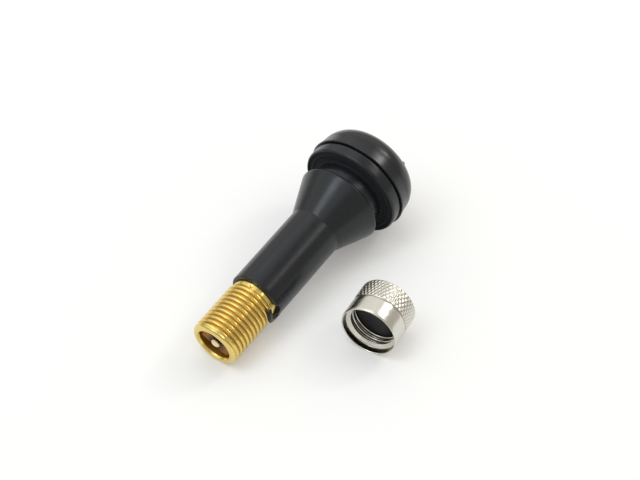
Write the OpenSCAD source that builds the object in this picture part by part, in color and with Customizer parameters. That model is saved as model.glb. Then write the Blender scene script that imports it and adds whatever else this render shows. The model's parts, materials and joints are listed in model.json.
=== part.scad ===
// Snap-in tyre valve lying on its side, with its metal cap off beside it.
// All sizes are in millimetres. Each piece is drawn upright on its own axis,
// head end at z = 0 and tip at the top, and is then laid down on the floor.

/* [Overall] */
// Length from the end of the rubber head to the brass tip
valve_len = 42; // [38:0.5:60]
// Bare brass from the tip to the end of the rubber
brass_out = 9.85; // [8.5:0.05:14]

/* [Rubber body] */
// Diameter of the sleeve round the brass
sleeve_d = 8.5; // [8.3:0.1:10]
// Height of the bulb, from its end to its lip
bulb_h = 5.9; // [5:0.1:8]
// Diameter of the bulb at its lip
lip_d = 16.9; // [15.5:0.1:20]
// How much narrower the bulb's radius is where its shoulder starts
bulb_taper = 0.3; // [0:0.05:0.6]
// Radius of the bulb's rounded shoulder
shoulder_r = 3.4; // [2:0.1:4.5]
// Radius of the slightly domed end
crown_r = 17; // [13:0.5:40]
// Diameter of the air hole in the end
end_hole_d = 4.4; // [3:0.1:6]
// Width of the band that seals on the rim
band_h = 2; // [1.4:0.1:3]
// Diameter of the sealing band
band_d = 16.3; // [14.5:0.1:19]
// Width of the moulded line between the lip and the band
line_w = 0.3; // [0.15:0.05:0.5]
// Depth of that line below the band
line_depth = 0.45; // [0.2:0.05:0.8]
// Width of the groove that grips the rim
groove_w = 2.4; // [1.8:0.1:5]
// Diameter of the groove, a little over the rim's hole
groove_d = 11.8; // [11:0.1:13]
// Fillet in the corners of the groove
groove_fillet = 0.4; // [0.1:0.05:0.8]
// Diameter of the snap-in cone at its big end
cone_d = 13.8; // [13.2:0.1:17]
// Length of the cone
cone_h = 6.8; // [5:0.1:10]
// Chamfer on the outer edges of the rubber
edge = 0.25; // [0.1:0.05:0.4]
// Length of the torn flash tab past the end of the sleeve
tab_len = 1.2; // [0.6:0.1:1.25]
// Width of the tab round the sleeve, in degrees
tab_arc = 26; // [12:1:40]
// Where the tab stands round the sleeve, 0 to the right and 90 up
tab_at = 8; // [-180:1:180]

/* [Brass stem] */
// Outside diameter of the thread
thread_d = 7.75; // [7.5:0.05:8.2]
// Pitch of the thread, drawn as a ring for each turn
thread_pitch = 0.794; // [0.6:0.002:1.2]
// Depth of the thread
thread_depth = 0.4; // [0.2:0.05:0.5]
// Width of the flat on the crest of each turn
thread_crest = 0.2; // [0.1:0.05:0.3]
// Height of the rounded nose
nose_h = 0.7; // [0.4:0.1:1]
// Height of the plain collar between the thread and the rubber
collar_h = 0.9; // [0.7:0.1:2]
// How much smaller the collar's radius is than the thread's
collar_depth = 0.2; // [0.2:0.05:0.4]
// Width of the groove where the thread runs out
runout_w = 0.35; // [0.2:0.05:0.6]
// Depth of that groove
runout_depth = 0.4; // [0.3:0.05:0.6]
// Diameter of the brass inside the rubber
grip_d = 6.3; // [6:0.1:7]
// Number of grooves that lock the rubber to the brass
grip_grooves = 4; // [2:1:5]
// Depth of each locking groove
grip_depth = 0.35; // [0.2:0.05:0.5]
// Diameter of the foot inside the head
foot_d = 9.6; // [8:0.1:10.4]
// Thickness of the foot at its edge
foot_h = 1.4; // [1:0.1:2]
// Rubber under the foot
foot_cover = 1.7; // [1.2:0.1:2.5]
// Thickness of the brass round the open mouth
mouth_wall = 1.175; // [1.1:0.025:1.25]
// Width of the bevel inside the mouth, half its depth
mouth_bevel = 0.28; // [0.1:0.02:0.36]
// Depth of the plain mouth above the inner thread
mouth_h = 1; // [0.6:0.1:1.5]
// Diameter of the air passage through the foot
air_d = 2.8; // [2:0.1:3.2]

/* [Valve core] */
// Diameter of the plug's thread
plug_d = 5.16; // [5:0.02:5.2]
// Length of the plug's thread
plug_h = 3.5; // [2.5:0.1:4.2]
// Depth from the tip to the top of the plug's thread
plug_drop = 2.1; // [1.6:0.1:3]
// Height of the bridge over the plug
bridge_h = 1.5; // [1:0.1:1.6]
// Thickness of the bridge
bridge_w = 1.9; // [1.7:0.1:2.2]
// How far the core is turned about its axis
bridge_at = 152; // [0:1:180]
// Diameter of the pin's upper end
pin_d = 1.44; // [1.2:0.02:1.6]
// Diameter of the pin inside the barrel
rod_d = 1; // [0.8:0.05:1.1]
// Depth of the pin's top below the tip
pin_drop = 0.35; // [0:0.05:0.6]
// Travel of the pin when it is pressed
pin_travel = 1.8; // [1:0.1:2.5]
// Diameter of the barrel
barrel_d = 3.4; // [3.2:0.05:3.6]
// Length of the barrel below its seal
barrel_h = 6.4; // [5:0.1:8]
// Bore of the barrel, where the spring sits
chamber_d = 2.3; // [2.2:0.05:2.5]
// Height of the conical seal
seal_h = 2; // [1.4:0.1:2.6]
// Diameter of the seal at its wide end
seal_top_d = 4.5; // [4.2:0.05:4.7]
// Diameter of the seal at its narrow end
seal_low_d = 3.8; // [3.7:0.05:4]
// Diameter of the cup on the pin's inner end
cup_d = 3.2; // [2.8:0.05:3.4]
// Wall of the cup
cup_wall = 0.2; // [0.15:0.05:0.3]
// Thickness of the washer in the cup
washer_h = 1.4; // [1:0.1:2]
// Thickness of the spring's wire
wire_d = 0.24; // [0.16:0.02:0.3]
// Number of turns of the spring
spring_turns = 9; // [6:1:11]

/* [Cap] */
// Thickness of the cap outside its thread
cap_wall = 0.535; // [0.35:0.005:0.8]
// Length of the cap
cap_len = 6.75; // [6:0.05:10]
// Length of the knurled part, from the closed end
knurl_len = 3.5; // [2.5:0.1:4.5]
// Radius of the edge at the closed end
cap_edge_r = 0.5; // [0.2:0.05:0.5]
// Thickness of the closed end
cap_end = 1; // [0.4:0.05:1.5]
// Thickness of the rubber seal inside
cap_seal_h = 2.6; // [0.6:0.1:3]
// Depth of the bevel inside the mouth
cap_bevel = 0.45; // [0.2:0.05:0.8]

/* [How they lie] */
// Distance sideways from the valve's axis to the cap's mouth
cap_side = 16.85; // [14:0.05:40]
// Distance of the cap's mouth behind the tip
cap_back = 14.7; // [8:0.1:28]
// How far the cap is turned from the valve
cap_turn = 7.6; // [-20:0.1:20]

/* [Hidden] */
$fn = 72;
// clearance between screwed or sliding pieces
slip = 0.04;
// chamfer on the edges of turned metal
chamfer = 0.15;

// flat at the root of the thread
thread_root = 0.12;
// length of the collar inside the rubber
collar_in = 1.2;
// half the width of a locking groove at its mouth and at its floor
lock_mouth = 0.9;
lock_floor = 0.55;
// cone between the air passage and the core's bore
bore_cone = 1;

// thickness of the torn tab, how far it is rooted in the sleeve, and its share that is torn out
tab_t = 0.34;
tab_root = 0.1;
tab_torn = 0.6;
tear_depth = 0.3;

// bottom of the plug round the barrel's neck, and how deep the bridge is rooted in the plug
plug_floor = 0.5;
bridge_root = 0.4;
// gap round the pin in the neck, the neck's wall and the lip that holds it in the plug
pin_gap = 0.12;
neck_wall = 0.38;
neck_lip = 0.22;
neck_lip_h = 0.56;
neck_root = 0.6;
// ledge of the barrel over its seal, its wall inside the seal, and its floor under the spring
ledge_h = 0.36;
ledge_w = 0.1;
seat_wall = 0.25;
floor_h = 0.9;
// gap for the air round the pin in the floor
air_gap = 0.3;
// collar on the pin over the spring, its depth under the plug and its gap to the barrel
stop_h = 0.5;
stop_drop = 1.6;
stop_gap = 0.13;
// where the pin grows to its upper diameter, over the plug's lower end
step_low = 1.2;
step_high = 1.6;
// bottom of the cup, how far the washer stands out of it, and the rivet under it
cup_floor = 0.6;
washer_out = 0.3;
rivet_h = 0.5;
rivet_w = 0.35;
rivet_edge = 0.25;
// room under the rivet when the pin is pressed home
spare_room = 0.6;
// rise of a closed end turn of the spring, in thicknesses of its wire
closed_rise = 1.1;

// depth and width of the line between the cap's knurl and its plain band
cap_line = 0.12;
// ledge under the cap's thread, where its seal is pressed in, and the seal's depth below it
cap_ledge = 0.2;
cap_seal_drop = 0.15;
// width of the bevel inside the cap's mouth
cap_bevel_w = 0.28;

sleeve_r = sleeve_d / 2;
lip_r = lip_d / 2;
band_r = band_d / 2;
groove_r = groove_d / 2;
cone_r = cone_d / 2;
end_hole_r = end_hole_d / 2;
thread_r = thread_d / 2;
collar_r = thread_r - collar_depth;
runout_r = thread_r - runout_depth;
grip_r = grip_d / 2;
foot_r = foot_d / 2;
mouth_r = thread_r - mouth_wall;
air_r = air_d / 2;
plug_r = plug_d / 2;
pin_r = pin_d / 2;
rod_r = rod_d / 2;
barrel_r = barrel_d / 2;
chamber_r = chamber_d / 2;
seal_top_r = seal_top_d / 2;
seal_low_r = seal_low_d / 2;
cup_r = cup_d / 2;
wire_r = wire_d / 2;

// levels of the rubber body, from the head's end
lip_z = bulb_h;
seat_z = lip_z + band_h;
cone_z = seat_z + groove_w;
sleeve_z = cone_z + cone_h;
end_z = valve_len - brass_out;
fillet_r = min(groove_fillet, (cone_r - edge - groove_r) / 2);

// levels of the brass stem
collar_z = end_z + collar_h;
thread_z = collar_z + runout_w;
nose_z = valve_len - nose_h;
grip_top = end_z - collar_in;
grip_z = grip_top - (collar_r - grip_r);
flare_z = foot_cover + foot_h + (foot_r - grip_r) / 2;
grip_pitch = (grip_z - flare_z) / (grip_grooves + 1);

// levels of the core, downwards from the tip
plug_top = valve_len - plug_drop;
plug_z = plug_top - plug_h;
neck_low = plug_z + plug_floor + slip;
ledge_top = plug_z - slip;
seal_top = ledge_top - ledge_h;
seal_low = seal_top - seal_h;
barrel_low = seal_low - barrel_h;
floor_z = barrel_low + floor_h;
stop_z = plug_z - stop_drop;
cup_z = barrel_low - washer_h - cup_floor;
rivet_z = cup_z - rivet_h;
core_bore_z = rivet_z - pin_travel - spare_room;

// widths inside the core
neck_bore_r = pin_r + pin_gap;
neck_r = neck_bore_r + neck_wall;
neck_lip_r = neck_r + neck_lip;
seat_r = chamber_r + seat_wall;
washer_r = cup_r - cup_wall;
stop_r = chamber_r - stop_gap;

// the cap
cap_bore_r = thread_r + slip;
cap_r = cap_bore_r + cap_wall;
cap_seal_r = cap_bore_r - cap_ledge;
cap_ledge_z = cap_end + cap_seal_h + cap_seal_drop;

// points on an arc of radius r about c, from angle a to angle b
function arc(c, r, a, b, n = 8) =
    [for (i = [0:n]) c + r * [cos(a + (b - a) * i / n), sin(a + (b - a) * i / n)]];
// the furthest reach of a turned outline, so much along its axis and so much across it
function reach(pts, along, across) = max([for (p = pts) along * p[1] + across * p[0]]);

// the domed end and the shoulder run into each other
shoulder_c = lip_r - bulb_taper - shoulder_r;
shoulder_z = crown_r - sqrt(pow(crown_r - shoulder_r, 2) - shoulder_c * shoulder_c);
shoulder_a = asin(shoulder_c / (crown_r - shoulder_r));
hole_a = asin(end_hole_r / crown_r);

// outline of the thread between two crests about its middle, downwards
valley = (thread_pitch - thread_crest) / 2;
turn_pts = [
    [0, valley],
    [-thread_depth, thread_root / 2],
    [-thread_depth, -thread_root / 2],
    [0, -valley]
];
turns = floor((nose_z - thread_z) / thread_pitch);
turn_top = (nose_z + thread_z + (turns - 1) * thread_pitch) / 2;

// outline of one locking groove about its middle, downwards
lock_pts = [[0, lock_mouth], [-grip_depth, lock_floor], [-grip_depth, -lock_floor], [0, -lock_mouth]];

// outline of the bond between rubber and brass, from the end of the sleeve to the foot
grip_pts = concat(
    [[collar_r, end_z], [collar_r, grip_top], [grip_r, grip_z]],
    [for (i = [1:grip_grooves], p = lock_pts) [grip_r, grip_z - i * grip_pitch] + p],
    [[grip_r, flare_z], [foot_r, foot_cover + foot_h], [foot_r, foot_cover]]
);

rubber_pts = concat(
    arc([0, crown_r], crown_r, hole_a - 90, shoulder_a - 90, 6),
    arc([shoulder_c, shoulder_z], shoulder_r, shoulder_a - 90, 0, 12),
    [
        [lip_r, lip_z - edge / 2],
        [lip_r - edge / 2, lip_z],
        [band_r - line_depth, lip_z],
        [band_r - line_depth, lip_z + line_w],
        [band_r - edge / 2, lip_z + line_w],
        [band_r, lip_z + line_w + edge / 2],
        [band_r, seat_z - edge],
        [band_r - edge, seat_z]
    ],
    arc([groove_r + fillet_r, seat_z + fillet_r], fillet_r, 270, 180, 5),
    arc([groove_r + fillet_r, cone_z - fillet_r], fillet_r, 180, 90, 5),
    [
        [cone_r - edge, cone_z],
        [cone_r, cone_z + edge],
        [sleeve_r, sleeve_z],
        [sleeve_r, end_z - edge / 2],
        [sleeve_r - edge / 2, end_z]
    ],
    grip_pts,
    [[end_hole_r, foot_cover]]
);

brass_pts = concat(
    [[mouth_r + mouth_bevel, valve_len]],
    arc([thread_r - nose_h, nose_z], nose_h, 90, 0, 6),
    [for (i = [0:turns - 1], p = turn_pts) [thread_r, turn_top - i * thread_pitch] + p],
    [
        [thread_r, thread_z],
        [runout_r, thread_z],
        [runout_r, collar_z],
        [collar_r, collar_z]
    ],
    grip_pts,
    [
        [air_r, foot_cover],
        [air_r, core_bore_z - bore_cone],
        [seal_low_r, core_bore_z],
        [seal_low_r, seal_low],
        [seal_top_r, seal_top],
        [plug_r + slip, seal_top],
        [plug_r + slip, valve_len - mouth_h - chamfer],
        [mouth_r, valve_len - mouth_h],
        [mouth_r, valve_len - 2 * mouth_bevel]
    ]
);

cap_pts = concat(
    [[0, 0]],
    arc([cap_r - cap_edge_r, cap_edge_r], cap_edge_r, -90, 0, 6),
    [
        [cap_r, knurl_len - cap_line],
        [cap_r - cap_line, knurl_len],
        [cap_r - cap_line, knurl_len + cap_line],
        [cap_r, knurl_len + 2 * cap_line],
        [cap_r, cap_len - chamfer],
        [cap_r - chamfer, cap_len],
        [cap_bore_r + cap_bevel_w, cap_len],
        [cap_bore_r, cap_len - cap_bevel],
        [cap_bore_r, cap_ledge_z],
        [cap_seal_r, cap_ledge_z],
        [cap_seal_r, cap_end],
        [0, cap_end]
    ]
);

// the valve leans on the bulb's lip and on the thread behind the nose
tilt = atan((lip_r - thread_r) / (nose_z - (lip_z - edge / 2)));
valve_pts = concat(rubber_pts, brass_pts);
lift = reach(valve_pts, sin(tilt), cos(tilt));
tip_y = valve_len * cos(tilt);
mouth_at = [cap_side, cap_back - tip_y];

// middle of the floor under both pieces
left = -lip_r;
right = cap_side + reach(cap_pts, sin(cap_turn), cos(cap_turn)) - cap_len * sin(cap_turn);
front = -reach(valve_pts, cos(tilt), sin(tilt));
rear = reach(valve_pts, -cos(tilt), sin(tilt));
middle = [(left + right) / 2, (front + rear) / 2];

// lays an upright valve piece on the floor, tip to the front
module laid() {
    translate([-middle[0], -middle[1], lift]) rotate([90 + tilt, 0, 0]) children();
}

// lays an upright cap piece beside the valve, mouth to the front
module cap_laid() {
    translate([mouth_at[0] - middle[0], mouth_at[1] - middle[1], cap_r])
        rotate([90, 0, cap_turn])
            translate([0, 0, -cap_len]) children();
}

// a piece turned from an outline of radius and height
module turned(pts) {
    rotate_extrude() polygon(pts);
}

// an outline turned through an angle only, centred on the direction at
module turned_part(pts, at, angle) {
    rotate([0, 0, at - angle / 2]) rotate_extrude(angle = angle) polygon(pts);
}

// the moulded rubber, with the torn tab of flash at the end of the sleeve
module rubber_body() {
    tab_in = collar_r + slip;
    tab_top = end_z + tab_len;
    tear_low = end_z - tear_depth;
    tear_top = end_z + tab_len * tab_torn;
    color([0.07, 0.075, 0.08]) laid() difference() {
        union() {
            turned(rubber_pts);
            turned_part([
                [tab_in, end_z - tab_root],
                [tab_in + tab_t, end_z - tab_root],
                [tab_in + tab_t, tab_top - tab_t / 2],
                [tab_in + tab_t / 2, tab_top],
                [tab_in, tab_top]
            ], tab_at, tab_arc);
        }
        turned_part([
            [grip_r, tear_low],
            [lip_r, tear_low],
            [lip_r, tear_top],
            [grip_r, tear_top]
        ], tab_at, tab_arc * tab_torn);
    }
}

// turned brass tube: outer thread, mouth, inner thread, seal taper, air passage and foot
module brass_stem() {
    color([0.83, 0.65, 0.3]) laid() turned(brass_pts);
}

// screwed plug with a bridge across its open bore that guides the pin
module core_plug() {
    bridge_z = plug_top - bridge_root;
    color([0.62, 0.42, 0.22]) laid() rotate([0, 0, bridge_at]) difference() {
        union() {
            turned([
                [neck_r + slip, plug_z],
                [plug_r - chamfer, plug_z],
                [plug_r, plug_z + chamfer],
                [plug_r, plug_top - chamfer],
                [plug_r - chamfer, plug_top],
                [neck_lip_r + slip, plug_top],
                [neck_lip_r + slip, plug_z + plug_floor],
                [neck_r + slip, plug_z + plug_floor]
            ]);
            intersection() {
                cylinder(r = plug_r - chamfer, h = plug_top + bridge_h);
                translate([-plug_r, -bridge_w / 2, bridge_z])
                    cube([plug_d, bridge_w, bridge_root + bridge_h]);
            }
        }
        translate([0, 0, plug_z]) cylinder(r = pin_r + slip, h = valve_len - plug_z);
    }
}

// brass tube with a swivel neck in the plug, a recess for the seal and a spring chamber
module core_barrel() {
    color([0.83, 0.66, 0.36]) laid() turned([
        [neck_bore_r, plug_z - neck_root],
        [chamber_r, plug_z - neck_root],
        [chamber_r, floor_z],
        [rod_r + air_gap, floor_z],
        [rod_r + air_gap, barrel_low],
        [barrel_r - chamfer, barrel_low],
        [barrel_r, barrel_low + chamfer],
        [barrel_r, seal_low],
        [seat_r, seal_low],
        [seat_r, seal_top],
        [barrel_r + ledge_w, seal_top],
        [barrel_r + ledge_w, ledge_top],
        [neck_r, ledge_top],
        [neck_r, neck_low],
        [neck_lip_r, neck_low],
        [neck_lip_r, neck_low + neck_lip_h],
        [neck_bore_r, neck_low + neck_lip_h]
    ]);
}

// conical ring that closes the joint between the barrel and the stem
module barrel_seal() {
    color([0.55, 0.12, 0.1]) laid() turned([
        [seat_r, seal_low],
        [seal_low_r, seal_low],
        [seal_top_r, seal_top],
        [seat_r, seal_top]
    ]);
}

// coil spring with closed end turns, as a round wire swept along a helix
module core_spring() {
    per_turn = 18;
    sides = 6;
    coil_r = (chamber_r + rod_r) / 2;
    steps = spring_turns * per_turn;
    low = floor_z + wire_r;
    rise = stop_z - floor_z - wire_d;
    closed = wire_d * closed_rise;
    function coil_z(t) =
        t < 1 ? closed * t
        : t > spring_turns - 1 ? rise - closed * (spring_turns - t)
        : closed + (rise - 2 * closed) * (t - 1) / (spring_turns - 2);
    pts = [for (i = [0:steps], j = [0:sides - 1])
        let (a = 360 * i / per_turn, b = 360 * j / sides, r = coil_r + wire_r * cos(b))
            [r * cos(a), r * sin(a), low + coil_z(i / per_turn) + wire_r * sin(b)]];
    skin = [for (i = [0:steps - 1], j = [0:sides - 1], k = [0, 1])
        let (p = i * sides + j, q = i * sides + (j + 1) % sides)
            k == 0 ? [p, q, q + sides] : [p, q + sides, p + sides]];
    first = [for (j = [0:sides - 1]) sides - 1 - j];
    last = [for (j = [0:sides - 1]) steps * sides + j];
    color([0.7, 0.71, 0.73]) laid() polyhedron(points = pts, faces = concat(skin, [first, last]));
}

// pin with a wide upper end, a collar that the spring lifts and a rivet under the cup
module core_pin() {
    pin_top = valve_len - pin_drop;
    rivet_r = rod_r + rivet_w;
    color([0.85, 0.74, 0.55]) laid() turned([
        [0, rivet_z],
        [rivet_r - rivet_edge, rivet_z],
        [rivet_r, rivet_z + rivet_edge],
        [rivet_r, cup_z],
        [rod_r, cup_z],
        [rod_r, stop_z],
        [stop_r, stop_z],
        [stop_r, stop_z + stop_h],
        [rod_r, stop_z + stop_h],
        [rod_r, plug_z + step_low],
        [pin_r, plug_z + step_high],
        [pin_r, pin_top - chamfer],
        [pin_r - chamfer, pin_top],
        [0, pin_top]
    ]);
}

// brass cup riveted to the pin's inner end
module plunger_cup() {
    cup_top = barrel_low - washer_out;
    color([0.83, 0.66, 0.36]) laid() turned([
        [rod_r, cup_z],
        [cup_r - chamfer, cup_z],
        [cup_r, cup_z + chamfer],
        [cup_r, cup_top],
        [washer_r, cup_top],
        [washer_r, cup_z + cup_floor],
        [rod_r, cup_z + cup_floor]
    ]);
}

// rubber washer that the spring holds against the barrel's end
module plunger_seal() {
    washer_z = cup_z + cup_floor;
    color([0.1, 0.1, 0.1]) laid() turned([
        [rod_r, washer_z],
        [washer_r, washer_z],
        [washer_r, barrel_low],
        [rod_r, barrel_low]
    ]);
}

// metal cap: closed end, knurled band, plain band and bored inside
module cap_shell() {
    color([0.72, 0.7, 0.66]) cap_laid() turned(cap_pts);
}

// thick rubber disc pressed in under the cap's thread
module cap_seal() {
    color([0.08, 0.08, 0.08]) cap_laid()
        translate([0, 0, cap_end]) cylinder(r = cap_seal_r, h = cap_seal_h);
}

rubber_body();
brass_stem();
core_plug();
core_barrel();
barrel_seal();
core_spring();
core_pin();
plunger_cup();
plunger_seal();
cap_shell();
cap_seal();
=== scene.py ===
"""Looks of a snap-in tyre valve that lies on its side with its metal cap off beside it."""

import json
import math

import bmesh
import bpy
import numpy as np
from mathutils import Matrix


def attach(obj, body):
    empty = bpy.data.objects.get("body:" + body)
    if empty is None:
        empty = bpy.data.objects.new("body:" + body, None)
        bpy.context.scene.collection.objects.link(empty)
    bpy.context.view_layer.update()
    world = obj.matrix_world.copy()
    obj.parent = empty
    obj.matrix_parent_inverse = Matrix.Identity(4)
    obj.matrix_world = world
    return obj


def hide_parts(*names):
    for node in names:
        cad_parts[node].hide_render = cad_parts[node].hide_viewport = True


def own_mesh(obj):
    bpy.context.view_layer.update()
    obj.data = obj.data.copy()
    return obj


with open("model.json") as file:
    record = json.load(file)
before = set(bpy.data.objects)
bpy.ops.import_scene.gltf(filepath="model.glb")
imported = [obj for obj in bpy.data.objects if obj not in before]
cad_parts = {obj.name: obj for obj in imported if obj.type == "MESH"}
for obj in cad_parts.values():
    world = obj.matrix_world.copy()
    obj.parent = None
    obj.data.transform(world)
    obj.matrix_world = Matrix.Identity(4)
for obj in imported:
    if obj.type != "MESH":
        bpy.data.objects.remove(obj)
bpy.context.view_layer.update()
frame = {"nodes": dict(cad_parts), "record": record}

# Rubber body: one moulding of black rubber, bonded round the brass stem.
# The bulb and its band stay inside the wheel, the groove grips the rim, and the cone
# was made to be pulled through the rim's hole.
VALVE_LEN = 42.0
SLEEVE_END = 31.95
SLEEVE_R = 4.25
SLEEVE_Z = 17.1
LIP_Z = 5.9
LIP_R = 8.45
LIP_EDGE_W = 0.06
LIP_EDGE_H = 0.1
BULB_TAPER = 0.3
SHOULDER_R = 3.4
CROWN_R = 17.0
CROWN_RISE = 0.35
END_HOLE_R = 2.2
LINE_W = 0.18
LINE_R = 7.8
BAND_R = 8.15
BAND_EDGE = 0.25
SEAT_Z = 7.9
SEAT_BORDER = 0.45
SEAT_STEP = 0.15
SEAT_DISH = 0.2
SEAT_RIB_R = 7.05
SEAT_RIB_HALF = 0.2
SEAT_RIB_SINK = 0.02
GROOVE_R = 5.9
CONE_Z = 10.3
CONE_R = 6.9
CONE_EDGE = 0.45
CORNER_R = 0.18
COLLAR_R = 3.675
COLLAR_SEAT = 0.6
GRIP_TOP = 30.95
GRIP_Z = 30.425
GRIP_R = 3.15
LOCK_COUNT = 4
LOCK_DEPTH = 0.35
LOCK_HALF = 0.55
FLARE_Z = 3.925
FOOT_TOP = 3.1
FOOT_COVER = 1.7
FOOT_R = 4.8
RUBBER_ROW = 0.4
HIDDEN_ROW = 1.5
RUBBER_STEPS = 256
SLACK = 0.01

stem_mount = next(mount for mount in frame["record"]["mounts"] if mount["name"] == "stem_thread")
THREAD_MIDDLE = 37.35
tip_way = np.array(stem_mount["axis"])
side_way = np.array([1.0, 0.0, 0.0])
top_way = np.cross(tip_way, side_way)
head_end = np.array(stem_mount["pos_m"]) - tip_way * THREAD_MIDDLE / 1000


def on_valve(points):
    """Takes upright points in millimetres, head end at z = 0 and tip up, to the lying valve in metres."""
    return head_end + points / 1000 @ np.array([side_way, top_way, tip_way])


def arc(centre, radius, start, stop, count):
    """Points at equal angles on a circle: centre plus radius times (cos, sin), angles in degrees."""
    angle = np.radians(np.linspace(start, stop, count))
    return np.array(centre) + radius * np.column_stack([np.cos(angle), np.sin(angle)])


def bent(start, middle, stop, share):
    """Quadratic curve from start to stop that leans to a middle point, at shares from 0 to 1 of its way."""
    return (1 - share) ** 2 * start + 2 * share * (1 - share) * middle + share ** 2 * stop


def softened(outline, radius, count=5):
    """Rounds each corner between the ends of an outline by a quadratic curve.

    The curve runs from a point before the corner to one after it. Both lie at the given radius
    from the corner, or at 0.45 of the shorter of its two edges.
    """
    corner = np.asarray(outline, float)
    before = np.roll(corner, 1, axis=0) - corner
    after = np.roll(corner, -1, axis=0) - corner
    length_before = np.linalg.norm(before, axis=1)
    length_after = np.linalg.norm(after, axis=1)
    reach = np.minimum(radius, 0.45 * np.minimum(length_before, length_after))
    reach[[0, -1]] = 0
    start = corner + before * (reach / length_before)[:, None]
    stop = corner + after * (reach / length_after)[:, None]
    share = np.linspace(0, 1, count)[None, :, None]
    return bent(start[:, None], corner[:, None], stop[:, None], share).reshape(-1, 2)


def spaced(outline, step):
    """Splits each edge of an open outline into equal parts no longer than the step, for even shading."""
    start = outline[:-1]
    stop = outline[1:]
    length = np.linalg.norm(stop - start, axis=1)
    kept = length > 1e-6
    start, stop, length = start[kept], stop[kept], length[kept]
    parts = np.maximum(1, np.ceil(length / step).astype(int))
    edge = np.repeat(np.arange(len(parts)), parts)
    share = (np.arange(len(edge)) - np.repeat(np.cumsum(parts) - parts, parts)) / parts[edge]
    points = start[edge] + (stop - start)[edge] * share[:, None]
    return np.vstack([points, stop[-1:]])


def turned(outline, steps):
    """Radius, angle and height of an outline turned about its axis: each (r, z) at equal angles round it."""
    angle = np.linspace(0, 2 * np.pi, steps, endpoint=False)[None, :]
    radius = np.repeat(outline[:, :1], steps, axis=1)
    height = np.repeat(outline[:, 1:], steps, axis=1)
    return radius, np.repeat(angle, len(outline), axis=0), height


def round_points(radius, angle, height):
    """Points from grids, rows or columns of radius, angle and height: (r cos a, r sin a, z)."""
    radius, angle, height = np.broadcast_arrays(radius, angle, height)
    return np.stack([radius * np.cos(angle), radius * np.sin(angle), height], axis=-1).reshape(-1, 3)


def turn_between(angle, middle):
    """Angle from a middle angle, brought between half a turn back and half a turn on."""
    return (angle - middle + np.pi) % (2 * np.pi) - np.pi


def ramp(value, start, stop):
    """Straight rise from 0 at the start to 1 at the stop, which may lie below it, and level beyond both."""
    return np.clip((value - start) / (stop - start), 0, 1)


def between(value, low, high):
    """True where a value lies between two limits."""
    return (value > low) & (value < high)


def grid_faces(rows, columns, closed_rows):
    """Four-cornered faces of a grid joined round its columns, and round its rows where those are closed."""
    row = np.arange(rows if closed_rows else rows - 1)[:, None]
    column = np.arange(columns)[None, :]
    next_row = (row + 1) % rows
    next_column = (column + 1) % columns
    faces = np.stack([
        row * columns + column,
        row * columns + next_column,
        next_row * columns + next_column,
        next_row * columns + column,
    ], axis=-1)
    return faces.reshape(-1, 4).tolist()


def mesh_piece(name, points, faces, mask=None):
    """Makes one smooth mesh object from points in metres and faces, outwards and with doubles merged.

    A mask is one value per point, kept as the attribute "mask" for the piece's material.
    """
    mesh = bpy.data.meshes.new(name)
    mesh.from_pydata(points.tolist(), [], faces)
    if mask is not None:
        kept_mask = mesh.attributes.new("mask", "FLOAT", "POINT")
        kept_mask.data.foreach_set("value", mask.ravel().astype(np.float32))
    work = bmesh.new()
    work.from_mesh(mesh)
    bmesh.ops.remove_doubles(work, verts=work.verts, dist=2e-7)
    bmesh.ops.dissolve_degenerate(work, edges=work.edges, dist=1e-8)
    bmesh.ops.recalc_face_normals(work, faces=work.faces)
    work.to_mesh(mesh)
    work.free()
    mesh.polygons.foreach_set("use_smooth", np.ones(len(mesh.polygons), bool))
    piece = bpy.data.objects.new(name, mesh)
    bpy.context.scene.collection.objects.link(piece)
    return piece


shoulder_r = LIP_R - BULB_TAPER - SHOULDER_R
shoulder_z = CROWN_R - math.sqrt((CROWN_R - SHOULDER_R) ** 2 - shoulder_r ** 2)
shoulder_turn = math.degrees(math.asin(shoulder_r / (CROWN_R - SHOULDER_R)))
hole_turn = math.degrees(math.asin(END_HOLE_R / CROWN_R))
head_dome = np.vstack([
    arc((0, CROWN_R), CROWN_R, hole_turn - 90, shoulder_turn - 90, count=10),
    arc((shoulder_r, shoulder_z), SHOULDER_R, shoulder_turn - 90, 0, count=18)[1:],
])
head_dome[:, 1] -= CROWN_RISE * (1 - head_dome[:, 1] / LIP_Z)
dish_z = SEAT_Z - SEAT_DISH
rim_grip = softened([
    (LIP_R - BULB_TAPER / 2, (shoulder_z + LIP_Z) / 2),
    (LIP_R, LIP_Z - LIP_EDGE_H), (LIP_R - LIP_EDGE_W, LIP_Z),
    (LINE_R, LIP_Z), (LINE_R, LIP_Z + LINE_W), (BAND_R, LIP_Z + LINE_W),
    (BAND_R, SEAT_Z - BAND_EDGE), (BAND_R - BAND_EDGE, SEAT_Z),
    (BAND_R - SEAT_BORDER, SEAT_Z), (BAND_R - SEAT_BORDER - SEAT_STEP, dish_z),
    (SEAT_RIB_R + SEAT_RIB_HALF, dish_z), (SEAT_RIB_R, SEAT_Z - SEAT_RIB_SINK),
    (SEAT_RIB_R - SEAT_RIB_HALF, dish_z), (GROOVE_R, dish_z), (GROOVE_R, CONE_Z),
    (CONE_R - CONE_EDGE, CONE_Z), (CONE_R, CONE_Z + CONE_EDGE),
    (SLEEVE_R, SLEEVE_Z), (SLEEVE_R, SLEEVE_END),
    (COLLAR_R, SLEEVE_END), (COLLAR_R, SLEEVE_END - COLLAR_SEAT),
], CORNER_R)
lock_z = GRIP_Z - (GRIP_Z - FLARE_Z) / (LOCK_COUNT + 1) * np.arange(1, LOCK_COUNT + 1)
lock_form = np.array([
    (0, LOCK_HALF + LOCK_DEPTH), (-LOCK_DEPTH, LOCK_HALF),
    (-LOCK_DEPTH, -LOCK_HALF), (0, -LOCK_HALF - LOCK_DEPTH),
])
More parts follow.
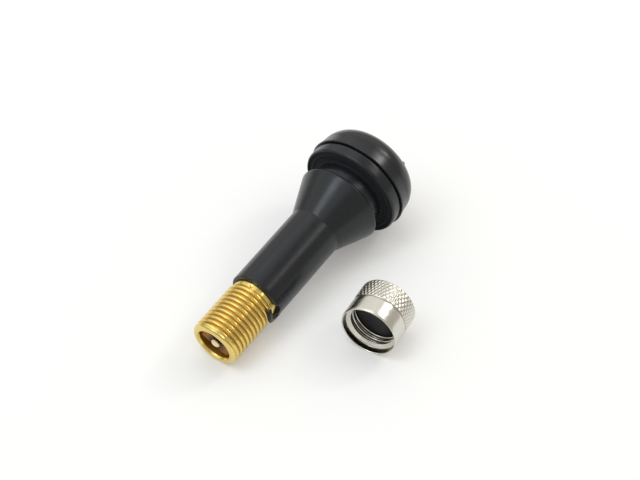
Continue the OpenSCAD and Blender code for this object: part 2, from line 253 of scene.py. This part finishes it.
locks = np.column_stack([np.full(LOCK_COUNT, GRIP_R), lock_z])[:, None, :] + lock_form
bond = np.vstack([
    [(COLLAR_R, GRIP_TOP), (GRIP_R, GRIP_Z)],
    locks.reshape(-1, 2),
    [(GRIP_R, FLARE_Z), (FOOT_R, FOOT_TOP), (FOOT_R, FOOT_COVER)],
])
rubber_outline = np.vstack([
    spaced(np.vstack([head_dome, rim_grip]), RUBBER_ROW),
    spaced(np.vstack([bond, [(END_HOLE_R, FOOT_COVER)]]), HIDDEN_ROW),
])
radius, angle, height = turned(rubber_outline, RUBBER_STEPS)

END_REACH = 1.5
NOTCH_AT = math.radians(3)
NOTCH_HALF = math.radians(13)
NOTCH_DEPTH = 0.5
SLANT = 0.08
SLANT_AT = math.radians(-20)
near_end = ramp(height, SLEEVE_END - END_REACH, SLEEVE_END) * (radius > COLLAR_R - SLACK)
from_notch = turn_between(angle, NOTCH_AT) / NOTCH_HALF
height = height - NOTCH_DEPTH * np.clip(1 - from_notch ** 2, 0, 1) * near_end
height = height + SLANT * np.cos(angle - SLANT_AT) * near_end
NIB_AT = math.radians(31.5)
NIB_R = 6.55
NIB_Z = 1.1
NIB_H = 0.2
NIB_SIZE = 0.28
NIB_TILT = math.radians(58)
nib_reach = (turn_between(angle, NIB_AT) * NIB_R) ** 2 + (radius - NIB_R) ** 2 + (height - NIB_Z) ** 2
nib = NIB_H * np.exp(-nib_reach / NIB_SIZE ** 2)
radius = radius + nib * math.cos(NIB_TILT)
height = height - nib * math.sin(NIB_TILT)
DULL_R = (GROOVE_R - 0.1, BAND_R - 0.2)
DULL_Z = (SEAT_Z - 0.5, SEAT_Z + 0.1)
dull_seat = between(radius, *DULL_R) & between(height, *DULL_Z)
rubber = mesh_piece(
    "moulded_rubber", on_valve(round_points(radius, angle, height)),
    grid_faces(len(rubber_outline), RUBBER_STEPS, closed_rows=True), dull_seat)


def new_material(name):
    """Makes a node material and returns it with its shader and its node tree."""
    material = bpy.data.materials.new(name)
    material.use_nodes = True
    tree = material.node_tree
    return material, tree.nodes["Principled BSDF"], tree


def new_group(name, inputs, outputs):
    """Makes a node group with named sockets of the given kinds, and its input and output node."""
    group = bpy.data.node_groups.new(name, "ShaderNodeTree")
    for socket, kind in inputs.items():
        group.interface.new_socket(socket, in_out="INPUT", socket_type=kind)
    for socket, kind in outputs.items():
        group.interface.new_socket(socket, in_out="OUTPUT", socket_type=kind)
    return group, group.nodes.new("NodeGroupInput"), group.nodes.new("NodeGroupOutput")


def make_speckle():
    """Group for an uneven surface: fine noise on Object coordinates.

    It puts out the noise as a value from Low to High, and as a height for a bump.
    """
    number = "NodeSocketFloat"
    group, given, result = new_group(
        "speckle", {"Scale": number, "Low": number, "High": number}, {"Value": number, "Height": number})
    where = group.nodes.new("ShaderNodeTexCoord")
    noise = group.nodes.new("ShaderNodeTexNoise")
    noise.inputs["Detail"].default_value = 5
    spread = group.nodes.new("ShaderNodeMapRange")
    spread.inputs["From Min"].default_value = 0.3
    spread.inputs["From Max"].default_value = 0.7
    group.links.new(where.outputs["Object"], noise.inputs["Vector"])
    group.links.new(given.outputs["Scale"], noise.inputs["Scale"])
    group.links.new(noise.outputs["Fac"], spread.inputs["Value"])
    group.links.new(given.outputs["Low"], spread.inputs["To Min"])
    group.links.new(given.outputs["High"], spread.inputs["To Max"])
    group.links.new(spread.outputs["Result"], result.inputs["Value"])
    group.links.new(noise.outputs["Fac"], result.inputs["Height"])
    return group


def make_dull_and_shade():
    """Group that blends from a plain look to a masked one by the mesh's attribute "mask", for a duller
    roughness or for painted shade in the colour.

    It puts out the blend of the two colours and the blend of the two roughnesses. The sockets of
    a Mix node are taken by number, because those for values and for colours share their names.
    """
    colour = "NodeSocketColor"
    number = "NodeSocketFloat"
    group, given, result = new_group("dull_and_shade", {
        "Plain Color": colour, "Stained Color": colour,
        "Plain Roughness": number, "Stained Roughness": number,
    }, {"Color": colour, "Roughness": number})
    mask = group.nodes.new("ShaderNodeAttribute")
    mask.attribute_name = "mask"
    for effect, data_type, first_input, output in (("Color", "RGBA", 6, 2), ("Roughness", "FLOAT", 2, 0)):
        mix = group.nodes.new("ShaderNodeMix")
        mix.data_type = data_type
        group.links.new(mask.outputs["Fac"], mix.inputs[0])
        group.links.new(given.outputs["Plain " + effect], mix.inputs[first_input])
        group.links.new(given.outputs["Stained " + effect], mix.inputs[first_input + 1])
        group.links.new(mix.outputs[output], result.inputs[effect])
    return group


speckle = make_speckle()
dull_and_shade = make_dull_and_shade()


def place_group(tree, group, values):
    """Places a group in a material and gives its inputs the material's own values."""
    node = tree.nodes.new("ShaderNodeGroup")
    node.node_tree = group
    for socket, value in values.items():
        node.inputs[socket].default_value = value
    return node


def add_bump(tree, shader, height, strength, distance):
    """Feeds a height through a Bump node to the shader's Normal."""
    bump = tree.nodes.new("ShaderNodeBump")
    bump.inputs["Strength"].default_value = strength
    bump.inputs["Distance"].default_value = distance
    tree.links.new(height, bump.inputs["Height"])
    tree.links.new(bump.outputs["Normal"], shader.inputs["Normal"])


rubber_look, shader, tree = new_material("black_rubber")
shader.inputs["Base Color"].default_value = (0.0085, 0.0104, 0.0132, 1)
shader.inputs["Specular IOR Level"].default_value = 0.38
uneven = place_group(tree, speckle, {"Scale": 700, "Low": 0.2, "High": 0.3})
dulled = place_group(tree, dull_and_shade, {"Stained Roughness": 0.9})
tree.links.new(uneven.outputs["Value"], dulled.inputs["Plain Roughness"])
tree.links.new(dulled.outputs["Roughness"], shader.inputs["Roughness"])
add_bump(tree, shader, uneven.outputs["Height"], strength=0.06, distance=0.0001)
rubber.data.materials.append(rubber_look)
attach(rubber, "valve")
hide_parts("rubber_body")

# Flash tab: a strip of rubber that was squeezed out of the mould and torn, at the sleeve's end.
# It is of one piece with the sleeve and hooks over the brass.
TAB_ROWS = 33
TAB_SIDES = 12
TAB_R = 4.12
TAB_T = 0.36
TAB_HALF = 0.42
TAB_ROUND = 0.2
TAB_BLUNT = 0.97


def on_sleeve(turn, rise):
    """Place on the sleeve's unrolled wall: the way round it, of an angle in degrees, and the height."""
    return np.array([math.radians(turn) * TAB_R, SLEEVE_END + rise])


def end_faces(rows, columns):
    """The two faces that close the first and the last row of a grid that is joined round its columns."""
    first = np.arange(columns)
    return [first.tolist(), (first + (rows - 1) * columns).tolist()]


tab_foot = on_sleeve(-24, -0.6)
tab_bend = on_sleeve(-14, 3.1)
tab_tip = on_sleeve(21, 1.1)
share = np.linspace(0, 1, TAB_ROWS)[:, None]
section = np.linspace(0, 2 * np.pi, TAB_SIDES, endpoint=False)[None, :]
tab_line = bent(tab_foot, tab_bend, tab_tip, share)
slope = (1 - share) * (tab_bend - tab_foot) + share * (tab_tip - tab_bend)
slope = slope / np.linalg.norm(slope, axis=1, keepdims=True)
near_tip = np.clip((share - 1 + TAB_ROUND) / TAB_ROUND, 0, TAB_BLUNT)
taper = np.sqrt(1 - near_tip ** 2)
sideways = TAB_HALF * taper * np.cos(section)
tab_angle = (tab_line[:, :1] - slope[:, 1:] * sideways) / TAB_R
tab_height = tab_line[:, 1:] + slope[:, :1] * sideways
tab_radius = TAB_R + TAB_T / 2 * taper * np.sin(section)
tab = mesh_piece(
    "flash_tab", on_valve(round_points(tab_radius, tab_angle, tab_height)),
    grid_faces(TAB_ROWS, TAB_SIDES, closed_rows=False) + end_faces(TAB_ROWS, TAB_SIDES))
tab.data.materials.append(rubber_look)
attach(tab, "valve")

# Brass stem: a tube turned from brass bar, with the standard right-hand thread cut on its bare end.
# A plain collar and a runout groove lie beside the rubber, and the nose is rounded.
# Its mouth is bevelled and holds the valve core. Painted shade browns and darkens its bore and its thread's
# roots.
THREAD_R = 3.875
NOSE_H = 0.7
NOSE_Z = 41.3
NOSE_WALL = 0.75
COLLAR_Z = 32.75
COLLAR_EDGE = 0.08
COLLAR_REST = 0.5
THREAD_Z = 33.1
THREAD_EDGE = 0.1
RUNOUT_R = 3.35
MOUTH_R = 2.7
MOUTH_BEVEL = 0.2
MOUTH_BEVEL_H = 0.35
MOUTH_LOW_R = 2.64
MOUTH_LOW_Z = 40.4
STEM_CORNER_R = 0.07
PITCH = 0.794
THREAD_DEPTH = 0.4
THREAD_CREST = 0.3
THREAD_ROOT = 0.9
THREAD_PHASE = 0.3
THREAD_FADE_IN = (THREAD_Z - THREAD_EDGE, THREAD_Z + 0.2)
THREAD_FADE_OUT = (VALVE_LEN - 0.35, VALVE_LEN - 0.85)
AIR_R = 1.4
AIR_TOP = 21.7
CORE_BORE_R = 1.9
CORE_BORE_Z = 22.7
SEAT_LOW_Z = 34.0
SEAT_TOP_Z = 36.0
SEAT_TOP_R = 2.25
INNER_THREAD_R = 2.62
INNER_THREAD_TOP = 40.3
STEM_ROW = 0.06
BRASS_STEPS = 300

bevel_z = VALVE_LEN - MOUTH_BEVEL_H
stem_outside = softened(np.vstack([
    [(MOUTH_LOW_R, MOUTH_LOW_Z), (MOUTH_R, bevel_z), (MOUTH_R + MOUTH_BEVEL, VALVE_LEN)],
    arc((THREAD_R - NOSE_H, NOSE_Z), NOSE_H, 90, 0, count=9),
    [
        (THREAD_R, THREAD_Z), (RUNOUT_R, THREAD_Z - THREAD_EDGE), (RUNOUT_R, COLLAR_Z + COLLAR_EDGE),
        (COLLAR_R, COLLAR_Z), (COLLAR_R, GRIP_TOP + COLLAR_REST),
    ],
]), STEM_CORNER_R, count=4)
stem_inside = np.array([
    (AIR_R, FOOT_COVER), (AIR_R, AIR_TOP), (CORE_BORE_R, CORE_BORE_Z), (CORE_BORE_R, SEAT_LOW_Z),
    (SEAT_TOP_R, SEAT_TOP_Z), (INNER_THREAD_R, SEAT_TOP_Z), (INNER_THREAD_R, INNER_THREAD_TOP),
])
stem_outline = np.vstack([
    spaced(stem_outside, STEM_ROW),
    spaced(np.vstack([bond, stem_inside]), HIDDEN_ROW),
])
radius, angle, height = turned(stem_outline, BRASS_STEPS)


def ridge(turns):
    """Height of a straight-sided ridge: 1 on its crest half a turn in, 0 in the valleys at whole turns."""
    return 1 - np.abs((turns % 1) * 2 - 1)


def thread_form(turns):
    """Depth of a thread from 0 on its crest at whole turns to 1 at its root half a turn on.

    Crest and root are level. The flank between them is 3 times its share squared less 2 times it cubed.
    """
    flank = ramp(ridge(turns), THREAD_CREST, THREAD_ROOT)
    return flank * flank * (3 - 2 * flank)


outer_wall = (radius > THREAD_R - NOSE_WALL) & (height > THREAD_Z - THREAD_EDGE / 2)
run_in = ramp(height, *THREAD_FADE_OUT) * ramp(height, *THREAD_FADE_IN)
thread = outer_wall * run_in * thread_form(height / PITCH - angle / (2 * np.pi) + THREAD_PHASE)
radius = radius - THREAD_DEPTH * thread
NICK_AT = math.radians(87)
NICK_Z = 32.5
NICK_SIZE = 0.2
NICK_DEPTH = 0.16
NICK_WALL = 0.1
nick_reach = (turn_between(angle, NICK_AT) * COLLAR_R) ** 2 + (height - NICK_Z) ** 2
nick = np.exp(-nick_reach / NICK_SIZE ** 2)
radius = radius - NICK_DEPTH * nick * (radius > COLLAR_R - NICK_WALL)
# Painted shade: the thread's roots and the bore inside the mouth blend to a dark brown, and are rougher
# there.
ROOT_SHADE = 0.7
BORE_FADE = 0.1
bore_shade = (radius < MOUTH_R + MOUTH_BEVEL) * ramp(height, bevel_z, bevel_z - BORE_FADE)
stem_shade = np.maximum(bore_shade, ROOT_SHADE * thread)
brass = mesh_piece(
    "threaded_stem", on_valve(round_points(radius, angle, height)),
    grid_faces(len(stem_outline), BRASS_STEPS, closed_rows=True), stem_shade)

brass_look, shader, tree = new_material("bright_brass")
shader.inputs["Metallic"].default_value = 1
uneven = place_group(tree, speckle, {"Scale": 1500, "Low": 0.12, "High": 0.22})
brass_shade = place_group(tree, dull_and_shade, {
    "Plain Color": (0.78, 0.605, 0.195, 1), "Stained Color": (0.48, 0.24, 0.035, 1),
    "Stained Roughness": 0.55,
})
tree.links.new(uneven.outputs["Value"], brass_shade.inputs["Plain Roughness"])
tree.links.new(brass_shade.outputs["Color"], shader.inputs["Base Color"])
tree.links.new(brass_shade.outputs["Roughness"], shader.inputs["Roughness"])
add_bump(tree, shader, uneven.outputs["Height"], strength=0.02, distance=0.00005)
brass.data.materials.append(brass_look)
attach(brass, "valve")
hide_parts("brass_stem")

# Core plug, barrel and cup: small turned brass pieces, dulled and reddish inside the mouth.
# The plug is screwed into the stem, its bridge guides the pin, and the barrel hangs in it.
# The cup sits on the pin's inner end. Painted shade darkens them towards the pin.
PIN_SHADE_R = (0.95, 1.7)


def dress(material, *nodes):
    """Gives solids of the frame a material in place of their own."""
    for node in nodes:
        frame["nodes"][node].data.materials.clear()
        frame["nodes"][node].data.materials.append(material)


core_look, shader, tree = new_material("dulled_brass_painted_shade")
# Painted shade: the colour goes from dark brown near the pin's axis to reddish brown further out.
where = tree.nodes.new("ShaderNodeTexCoord")
from_axis = tree.nodes.new("ShaderNodeVectorMath")
from_axis.operation = "SUBTRACT"
from_axis.inputs[1].default_value = head_end
across_axis = tree.nodes.new("ShaderNodeVectorMath")
across_axis.operation = "CROSS_PRODUCT"
across_axis.inputs[1].default_value = tip_way
axis_distance = tree.nodes.new("ShaderNodeVectorMath")
axis_distance.operation = "LENGTH"
pin_shade = tree.nodes.new("ShaderNodeMapRange")
pin_shade.inputs["From Min"].default_value = PIN_SHADE_R[0] / 1000
pin_shade.inputs["From Max"].default_value = PIN_SHADE_R[1] / 1000
darkening_mix = tree.nodes.new("ShaderNodeMix")
darkening_mix.data_type = "RGBA"
darkening_mix.inputs[6].default_value = (0.035, 0.016, 0.004, 1)
darkening_mix.inputs[7].default_value = (0.3, 0.1, 0.008, 1)
tree.links.new(where.outputs["Object"], from_axis.inputs[0])
tree.links.new(from_axis.outputs["Vector"], across_axis.inputs[0])
tree.links.new(across_axis.outputs["Vector"], axis_distance.inputs[0])
tree.links.new(axis_distance.outputs["Value"], pin_shade.inputs["Value"])
tree.links.new(pin_shade.outputs["Result"], darkening_mix.inputs[0])
tree.links.new(darkening_mix.outputs[2], shader.inputs["Base Color"])
shader.inputs["Metallic"].default_value = 1
shader.inputs["Roughness"].default_value = 0.38
dress(core_look, "core_plug", "core_barrel", "plunger_cup")

# Barrel seal: a conical ring of red sealing plastic round the barrel.
# The plug presses it on the taper inside the stem.


def plain_material(name, colour, roughness, metallic=0):
    """Makes a material of one colour, one roughness and one share of metal."""
    material, shader = new_material(name)[:2]
    shader.inputs["Base Color"].default_value = colour
    shader.inputs["Roughness"].default_value = roughness
    shader.inputs["Metallic"].default_value = metallic
    return material


dress(plain_material("red_seal", (0.4, 0.05, 0.04, 1), roughness=0.5), "barrel_seal")

# Core spring: drawn steel wire, coiled with a closed turn at each end.
# It stands on the barrel's floor and holds the pin out. The real spring shortens as the pin is pressed, but
# this coil is drawn at one length.
SPRING_LOW = 28.5
SPRING_TOP = 34.8
SPRING_TURNS = 9
WIRE_R = 0.12
COIL_R = 0.825
CLOSED_RISE = 0.264
COIL_STEPS = SPRING_TURNS * 32
WIRE_SIDES = 10
turn = np.linspace(0, SPRING_TURNS, COIL_STEPS + 1)[:, None]
section = np.linspace(0, 2 * np.pi, WIRE_SIDES, endpoint=False)[None, :]
full_rise = SPRING_TOP - SPRING_LOW - 2 * WIRE_R
coil_rise = np.interp(
    turn, [0, 1, SPRING_TURNS - 1, SPRING_TURNS], [0, CLOSED_RISE, full_rise - CLOSED_RISE, full_rise])
coil_points = round_points(
    COIL_R + WIRE_R * np.cos(section),
    2 * np.pi * turn,
    SPRING_LOW + WIRE_R + coil_rise + WIRE_R * np.sin(section))
spring = mesh_piece(
    "coil_spring", on_valve(coil_points),
    grid_faces(COIL_STEPS + 1, WIRE_SIDES, closed_rows=False) + end_faces(COIL_STEPS + 1, WIRE_SIDES))
steel_look = plain_material("spring_wire", (0.6, 0.6, 0.62, 1), roughness=0.25, metallic=1)
spring.data.materials.append(steel_look)
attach(spring, "valve")
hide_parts("core_spring")
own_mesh(spring)

# Core pin: a turned brass pin, paler than the core, with its worn flat end just inside the mouth.
# It slides in the bridge and carries the cup and its washer at its inner end.
dress(plain_material("pin_brass", (0.95, 0.76, 0.48, 1), roughness=0.4, metallic=0.8), "core_pin")

# Plunger seal and cap seal: plain washers of black rubber.
# One closes the barrel's end from below, and the other is pressed into the bottom of the cap.
washer_look = plain_material("washer_rubber", (0.012, 0.012, 0.015, 1), roughness=0.5)
dress(washer_look, "plunger_seal", "cap_seal")

# Cap: drawn and threaded brass with a bright nickel plate, knurled for the fingers at its closed end.
# A line parts the knurl from the plain band. Its mouth is a counterbore, and a ledge under its thread
# holds the rubber seal. Painted shade darkens a band of the counterbore's wall, the knurl's grooves
# and the parting line, and the plain band is a little darker than the knurl.
CAP_R = 4.45
CAP_LEN = 6.75
CAP_EDGE_R = 0.5
CAP_WALL = 0.3
CAP_LINE = 0.12
CAP_LIP_W = 0.12
CAP_LIP_H = 0.16
CAP_MOUTH_R = 4.16
CAP_MOUTH_EDGE = 0.06
COUNTERBORE_Z = 5.75
# These bound a band of painted shade on the counterbore's wall, which keeps one radius there.
MOUTH_SHADE_LOW = COUNTERBORE_Z + 0.2
MOUTH_SHADE_TOP = CAP_LEN - 0.15
MOUTH_SHADE_FADE = 0.05
CAP_BORE_R = 3.915
CAP_CREST_R = CAP_BORE_R - THREAD_DEPTH
CAP_THREAD_Z = 5.45
CAP_THREAD_START = CAP_THREAD_Z - 0.1
CAP_THREAD_FADE = 0.3
CAP_LEDGE_Z = 3.75
CAP_SEAL_R = 3.715
CAP_END = 1.0
CAP_CORNER_R = 0.1
KNURL_LEN = 3.5
KNURL_COUNT = 46
KNURL_LEAN = math.radians(30)
KNURL_DEPTH = 0.085
KNURL_FADE_IN = (0.25, 0.5)
KNURL_FADE_OUT = (KNURL_LEN - 0.05, KNURL_LEN - 0.15)
CAP_ROW = 0.06
BAND_ROW = 0.5
CAP_STEPS = KNURL_COUNT * 12
cap_mount = next(mount for mount in frame["record"]["mounts"] if mount["name"] == "cap_thread")
CAP_THREAD_MIDDLE = 5.025
mouth_way = np.array(cap_mount["axis"])
up_way = np.array([0.0, 0.0, 1.0])
cap_side_way = np.cross(up_way, mouth_way)
cap_bottom = np.array(cap_mount["pos_m"]) - mouth_way * CAP_THREAD_MIDDLE / 1000


def on_cap(points):
    """Takes upright points in millimetres, closed end at z = 0 and mouth up, to the lying cap in metres."""
    return cap_bottom + points / 1000 @ np.array([cap_side_way, up_way, mouth_way])


cap_knurl = np.vstack([
    arc((CAP_R - CAP_EDGE_R, CAP_EDGE_R), CAP_EDGE_R, -90, 0, count=8),
    [(CAP_R, KNURL_LEN - CAP_LINE)],
])
cap_band = softened([
    (CAP_R, KNURL_LEN - CAP_LINE), (CAP_R - CAP_LINE, KNURL_LEN),
    (CAP_R - CAP_LINE, KNURL_LEN + CAP_LINE), (CAP_R, KNURL_LEN + 2 * CAP_LINE),
    (CAP_R, CAP_LEN - CAP_LIP_H), (CAP_R - CAP_LIP_W, CAP_LEN), (CAP_MOUTH_R + CAP_MOUTH_EDGE, CAP_LEN),
    (CAP_MOUTH_R, MOUTH_SHADE_TOP + MOUTH_SHADE_FADE), (CAP_MOUTH_R, MOUTH_SHADE_TOP - MOUTH_SHADE_FADE),
    (CAP_MOUTH_R, MOUTH_SHADE_LOW + MOUTH_SHADE_FADE), (CAP_MOUTH_R, MOUTH_SHADE_LOW - MOUTH_SHADE_FADE),
    (CAP_MOUTH_R, COUNTERBORE_Z), (CAP_CREST_R, CAP_THREAD_Z), (CAP_CREST_R, CAP_THREAD_START),
], CAP_CORNER_R)
cap_thread = np.array([cap_band[-1], (CAP_CREST_R, CAP_LEDGE_Z)])
cap_pocket = np.array([(CAP_SEAL_R, CAP_LEDGE_Z - SLACK), (CAP_SEAL_R, CAP_END)])
cap_outline = np.vstack([
    [(0, 0)], spaced(cap_knurl, CAP_ROW), spaced(cap_band, BAND_ROW),
    spaced(cap_thread, CAP_ROW), cap_pocket, [(0, CAP_END)],
])
radius, angle, height = turned(cap_outline, CAP_STEPS)

around = angle / (2 * np.pi) * KNURL_COUNT
along = height * math.tan(KNURL_LEAN) / (2 * np.pi * CAP_R / KNURL_COUNT)
groove = 1 - np.minimum(ridge(around + along), ridge(around - along))
outside = radius > CAP_R - CAP_WALL
knurled = outside * ramp(height, *KNURL_FADE_IN) * ramp(height, *KNURL_FADE_OUT)
on_crest = np.abs(radius - CAP_CREST_R) < 2 * SLACK
threaded = on_crest * ramp(height, CAP_THREAD_START, CAP_THREAD_START - CAP_THREAD_FADE)
radius = radius - knurled * KNURL_DEPTH * groove
radius = radius + threaded * THREAD_DEPTH * thread_form(height / PITCH - angle / (2 * np.pi))
# Painted shade darkens the knurl's grooves, the parting line and a band of the counterbore's wall.
GROOVE_SHADE = 0.8
GROOVE_SHARPNESS = 3.5
LINE_SHADE = 0.6
# The plain band, the lip and the inside are a little darker than the knurl.
UNKNURLED_DARKEN = 0.23
mouth_shade = between(radius, CAP_BORE_R, CAP_MOUTH_R + SLACK) & between(height, MOUTH_SHADE_LOW, MOUTH_SHADE_TOP)
cap_line = outside & (np.abs(height - KNURL_LEN - CAP_LINE / 2) < CAP_LINE)
cap_darkening = np.maximum(mouth_shade, np.maximum(LINE_SHADE * cap_line, UNKNURLED_DARKEN * (1 - knurled)))
cap_darkening = np.maximum(cap_darkening, GROOVE_SHADE * knurled * groove ** GROOVE_SHARPNESS)
cap = mesh_piece(
    "knurled_cap", on_cap(round_points(radius, angle, height)),
    grid_faces(len(cap_outline), CAP_STEPS, closed_rows=False), cap_darkening)

nickel_look, shader, tree = new_material("nickel_plate")
shader.inputs["Metallic"].default_value = 1
uneven = place_group(tree, speckle, {"Scale": 1200, "Low": 0.14, "High": 0.26})
darkening_mix = place_group(tree, dull_and_shade, {
    "Plain Color": (0.82, 0.805, 0.735, 1), "Stained Color": (0.16, 0.14, 0.1, 1),
})
tree.links.new(darkening_mix.outputs["Color"], shader.inputs["Base Color"])
tree.links.new(uneven.outputs["Value"], shader.inputs["Roughness"])
cap.data.materials.append(nickel_look)
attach(cap, "valve")
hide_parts("cap_shell")

# Studio: white paper under the pieces, which glows a little where the camera or a mirror sees it.
# A narrow key lamp and a wide ceiling light it from the left, a strip and a small window from the right,
# and a dim wall from behind. The camera looks down from the tip's right, as the photo does.
FLOOR_HALF = 1.5
floor_mesh = bpy.data.meshes.new("floor")
floor_corners = np.array([(-1, -1, 0), (1, -1, 0), (1, 1, 0), (-1, 1, 0)]) * FLOOR_HALF
floor_mesh.from_pydata(floor_corners.tolist(), [], [(0, 1, 2, 3)])
floor = bpy.data.objects.new("floor", floor_mesh)
bpy.context.scene.collection.objects.link(floor)
paper, shader, tree = new_material("white_paper")
shader.inputs["Base Color"].default_value = (0.935, 0.935, 0.925, 1)
shader.inputs["Roughness"].default_value = 0.9
shader.inputs["Specular IOR Level"].default_value = 0.1
GLOW_SHARE = 0.2
glow = tree.nodes.new("ShaderNodeEmission")
rays = tree.nodes.new("ShaderNodeLightPath")
mirrored = tree.nodes.new("ShaderNodeMath")
mirrored.operation = "MAXIMUM"
seen = tree.nodes.new("ShaderNodeMath")
seen.operation = "MAXIMUM"
glow_share = tree.nodes.new("ShaderNodeMath")
glow_share.operation = "MULTIPLY"
glow_share.inputs[1].default_value = GLOW_SHARE
mix = tree.nodes.new("ShaderNodeMixShader")
tree.links.new(rays.outputs["Is Glossy Ray"], mirrored.inputs[0])
tree.links.new(rays.outputs["Is Transmission Ray"], mirrored.inputs[1])
tree.links.new(rays.outputs["Is Camera Ray"], seen.inputs[0])
tree.links.new(mirrored.outputs["Value"], seen.inputs[1])
tree.links.new(seen.outputs["Value"], glow_share.inputs[0])
tree.links.new(glow_share.outputs["Value"], mix.inputs["Fac"])
tree.links.new(shader.outputs["BSDF"], mix.inputs[1])
tree.links.new(glow.outputs["Emission"], mix.inputs[2])
tree.links.new(mix.outputs["Shader"], tree.nodes["Material Output"].inputs["Surface"])
floor_mesh.materials.append(paper)

PHOTO_W = 640
PHOTO_H = 480
FOCAL_PX = 1625
TIP_PX = (213.15, 345.95)
TIP_DEPTH = 0.2332
CAMERA_TURN = math.radians(35.885)
CAMERA_RISE = math.radians(45.6)
right = np.array([math.cos(CAMERA_TURN), math.sin(CAMERA_TURN), 0])
forward = np.array([-math.sin(CAMERA_TURN), math.cos(CAMERA_TURN), 0])
back = up_way * math.sin(CAMERA_RISE) - forward * math.cos(CAMERA_RISE)
up = np.cross(back, right)
tip = head_end + tip_way * VALVE_LEN / 1000
tip_offset = (np.array(TIP_PX) - (PHOTO_W / 2, PHOTO_H / 2)) / FOCAL_PX * TIP_DEPTH
camera_at = tip + back * TIP_DEPTH - right * tip_offset[0] + up * tip_offset[1]


def standing(across, over, away, place):
    """Matrix of an object at a place, with its x, y and z axes along three directions."""
    return Matrix(np.vstack([np.column_stack([across, over, away, place]), [0, 0, 0, 1]]))


camera_data = bpy.data.cameras.new("camera")
camera_data.sensor_width = 36
camera_data.lens = FOCAL_PX * camera_data.sensor_width / PHOTO_W
camera_data.clip_start = 0.01
camera = bpy.data.objects.new("camera", camera_data)
camera.matrix_world = standing(right, up, back, camera_at)
bpy.context.scene.collection.objects.link(camera)
bpy.context.scene.camera = camera


def soft_light(name, turn, rise, distance, size, radiance, colour):
    """An oblong area lamp that faces the middle of the floor.

    It is turned to the right of the view and raised, both in degrees, and its size is its width and
    height in metres. Its power is its radiance times pi times its area.
    """
    data = bpy.data.lights.new(name, "AREA")
    data.shape = "RECTANGLE"
    data.color = colour
    data.size, data.size_y = size
    data.energy = radiance * math.pi * size[0] * size[1]
    lamp = bpy.data.objects.new(name, data)
    level = right * math.sin(math.radians(turn)) + forward * math.cos(math.radians(turn))
    away = level * math.cos(math.radians(rise)) + up_way * math.sin(math.radians(rise))
    across = np.cross(up_way, away)
    across = across / np.linalg.norm(across)
    lamp.matrix_world = standing(across, np.cross(away, across), away, away * distance)
    bpy.context.scene.collection.objects.link(lamp)


WARM = (1.0, 0.98, 0.95)
soft_light("key", -108, 65, 0.45, size=(0.12, 0.28), radiance=3.0, colour=(0.9, 1.0, 1.1))
soft_light("ceiling", -90, 64, 0.5, size=(0.8, 0.8), radiance=0.57, colour=(0.92, 1.0, 1.08))
soft_light("strip", 72, 48, 0.45, size=(0.3, 0.1), radiance=2.2, colour=WARM)
soft_light("window", 60, 38, 0.4, size=(0.07, 0.07), radiance=10.0, colour=WARM)
soft_light("back_wall", 5, 42, 0.5, size=(0.8, 0.4), radiance=0.42, colour=(1.0, 1.0, 1.0))

world = bpy.data.worlds.new("tent")
world.use_nodes = True
background = world.node_tree.nodes["Background"]
background.inputs["Color"].default_value = (1.0, 0.95, 0.87, 1)
background.inputs["Strength"].default_value = 0.56
bpy.context.scene.world = world
bpy.context.scene.view_settings.view_transform = "Standard"
